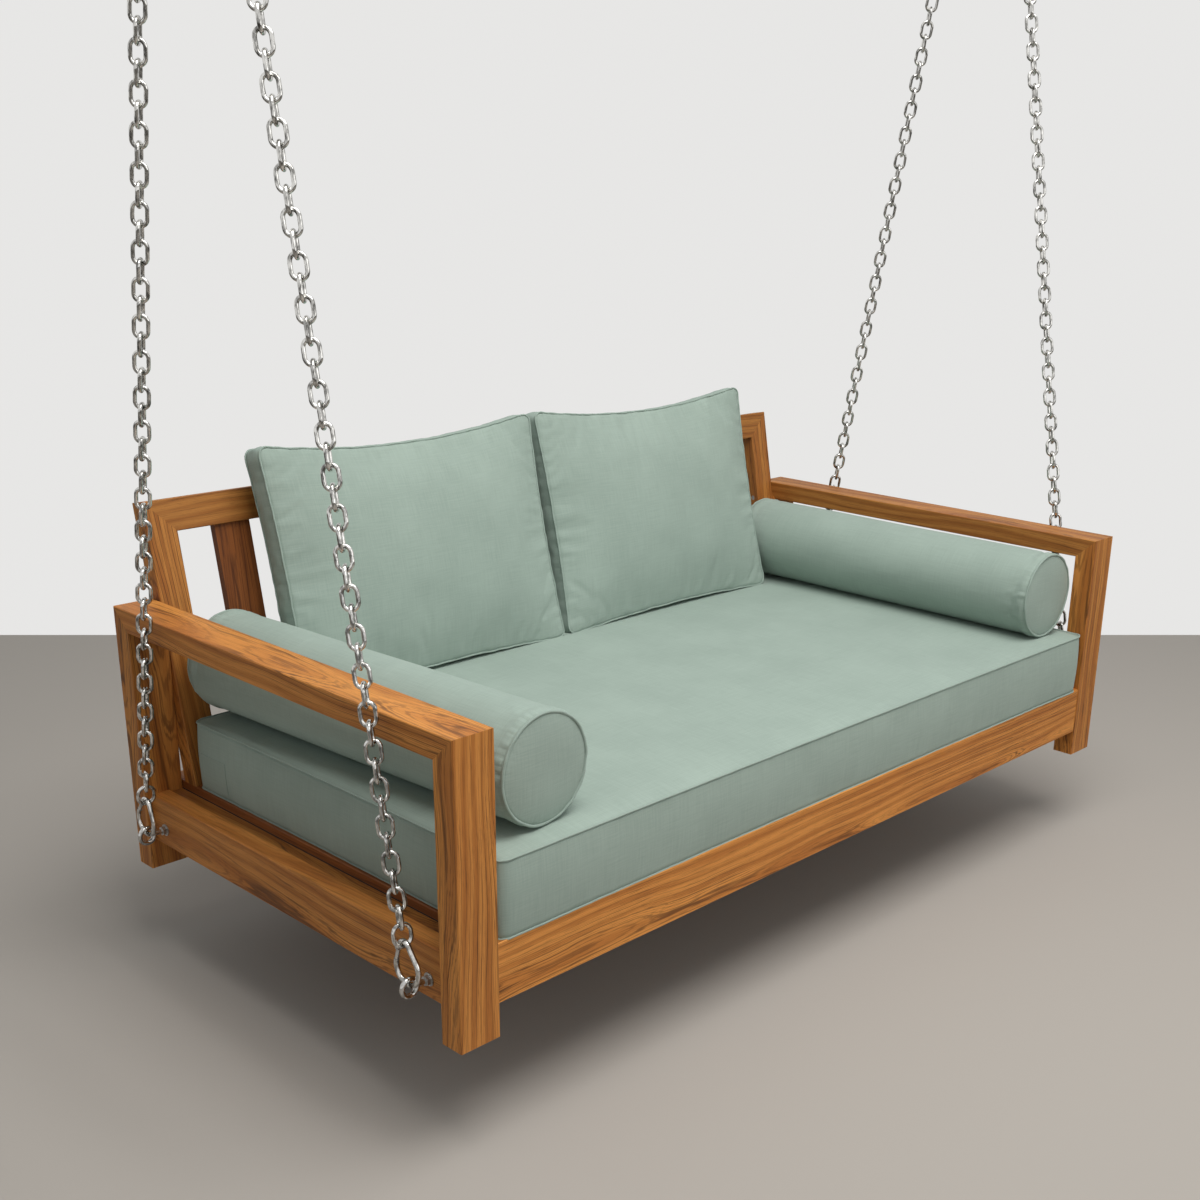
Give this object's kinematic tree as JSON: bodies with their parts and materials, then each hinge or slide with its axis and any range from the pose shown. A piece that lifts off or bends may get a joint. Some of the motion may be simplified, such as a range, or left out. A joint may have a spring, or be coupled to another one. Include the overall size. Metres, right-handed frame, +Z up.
{
  "type": "hanging swing bed",
  "caption": "Wooden daybed with open arms and a leaning slatted back, a mattress, back cushions and bolsters, hung from ceiling plates on chains with snap hooks.",
  "frame": {"origin": "on the ceiling plane, midway between the four ceiling plates, over the bed's middle", "axes": "+X along the bed's long side, -Y towards the front where people sit down, +Z up"},
  "size_m": [2.26, 1.117, 1.9703],
  "materials": {
    "frame_wood": "oiled",
    "deck_wood": "sanded",
    "dowel_wood": "sanded",
    "mattress_fabric": "woven",
    "cushion_fabric": "woven",
    "chain_steel": "polished",
    "hook_steel": "polished",
    "gate_steel": "polished",
    "eye_steel": "polished",
    "nut_steel": "satin",
    "bolt_steel": "satin",
    "ceiling_steel": "satin"
  },
  "bodies": {
    "ceiling": {"ceiling_plate_front_left": "ceiling_steel", "ceiling_plate_front_right": "ceiling_steel", "ceiling_plate_rear_left": "ceiling_steel", "ceiling_plate_rear_right": "ceiling_steel"},
    "hanger_front_left": {"chain_front_left": "chain_steel", "snap_hook_front_left": "hook_steel"},
    "hanger_front_right": {"chain_front_right": "chain_steel", "snap_hook_front_right": "hook_steel"},
    "hanger_rear_left": {"chain_rear_left": "chain_steel", "snap_hook_rear_left": "hook_steel"},
    "hanger_rear_right": {"chain_rear_right": "chain_steel", "snap_hook_rear_right": "hook_steel"},
    "gate_front_left": {"hook_gate_front_left": "gate_steel"},
    "gate_front_right": {"hook_gate_front_right": "gate_steel"},
    "gate_rear_left": {"hook_gate_rear_left": "gate_steel"},
    "gate_rear_right": {"hook_gate_rear_right": "gate_steel"},
    "bed": {"eye_bolts": "eye_steel", "eye_bolt_washers": "nut_steel", "eye_bolt_nuts": "nut_steel", "front_post_left": "frame_wood", "front_post_right": "frame_wood", "rear_post_left": "frame_wood", "rear_post_right": "frame_wood", "arm_rail_left": "frame_wood", "arm_rail_right": "frame_wood", "side_rail_left": "frame_wood", "side_rail_right": "frame_wood", "front_rail": "frame_wood", "rear_rail": "frame_wood", "arm_dowels": "dowel_wood", "front_ledger": "deck_wood", "rear_ledger": "deck_wood", "side_ledge_left": "deck_wood", "side_ledge_right": "deck_wood", "deck_beam": "deck_wood", "deck_slats": "deck_wood", "back_top_rail": "frame_wood", "back_bottom_rail": "frame_wood", "back_stile_left": "frame_wood", "back_stile_right": "frame_wood", "back_slats": "frame_wood", "back_bolts": "bolt_steel", "mattress": "mattress_fabric", "back_cushion_left": "cushion_fabric", "back_cushion_right": "cushion_fabric", "bolster_left": "cushion_fabric", "bolster_right": "cushion_fabric"}
  },
  "joints": [
    {"name": "swing", "type": "hinge", "parent": "ceiling", "child": "hanger_front_left", "pos_m": [-1.088, -0.122, -0.048], "axis": [1, 0, 0], "range_deg": [-9, 9]},
    {"name": "chain_front_right_swing", "type": "hinge", "parent": "ceiling", "child": "hanger_front_right", "pos_m": [1.088, -0.122, -0.048], "axis": [1, 0, 0], "range_deg": [-9, 9]},
    {"name": "chain_rear_left_swing", "type": "hinge", "parent": "ceiling", "child": "hanger_rear_left", "pos_m": [-1.088, 0.122, -0.048], "axis": [1, 0, 0], "range_deg": [-9, 9]},
    {"name": "chain_rear_right_swing", "type": "hinge", "parent": "ceiling", "child": "hanger_rear_right", "pos_m": [1.088, 0.122, -0.048], "axis": [1, 0, 0], "range_deg": [-9, 9]},
    {"name": "bed_pivot", "type": "hinge", "parent": "hanger_front_left", "child": "bed", "pos_m": [-1.088, -0.437, -1.85428], "axis": [1, 0, 0], "range_deg": [-2.6, 2.6]},
    {"name": "gate_front_left_hinge", "type": "hinge", "parent": "hanger_front_left", "child": "gate_front_left", "pos_m": [-1.088, -0.41247, -1.80207], "axis": [1, 0, 0], "range_deg": [-20, 0], "stiffness_Nm_per_rad": 0.02, "springref_deg": 2.86},
    {"name": "gate_front_right_hinge", "type": "hinge", "parent": "hanger_front_right", "child": "gate_front_right", "pos_m": [1.088, -0.41247, -1.80207], "axis": [1, 0, 0], "range_deg": [-20, 0], "stiffness_Nm_per_rad": 0.02, "springref_deg": 2.86},
    {"name": "gate_rear_left_hinge", "type": "hinge", "parent": "hanger_rear_left", "child": "gate_rear_left", "pos_m": [-1.088, 0.44241, -1.79685], "axis": [1, 0, 0], "range_deg": [-20, 0], "stiffness_Nm_per_rad": 0.02, "springref_deg": 2.86},
    {"name": "gate_rear_right_hinge", "type": "hinge", "parent": "hanger_rear_right", "child": "gate_rear_right", "pos_m": [1.088, 0.44241, -1.79685], "axis": [1, 0, 0], "range_deg": [-20, 0], "stiffness_Nm_per_rad": 0.02, "springref_deg": 2.86}
  ],
  "couplings": [
    {"joint": "chain_front_right_swing", "follows": "swing", "ratio": 1},
    {"joint": "chain_rear_left_swing", "follows": "swing", "ratio": 1},
    {"joint": "chain_rear_right_swing", "follows": "swing", "ratio": 1},
    {"joint": "bed_pivot", "follows": "swing", "ratio": -0.2782}
  ]
}
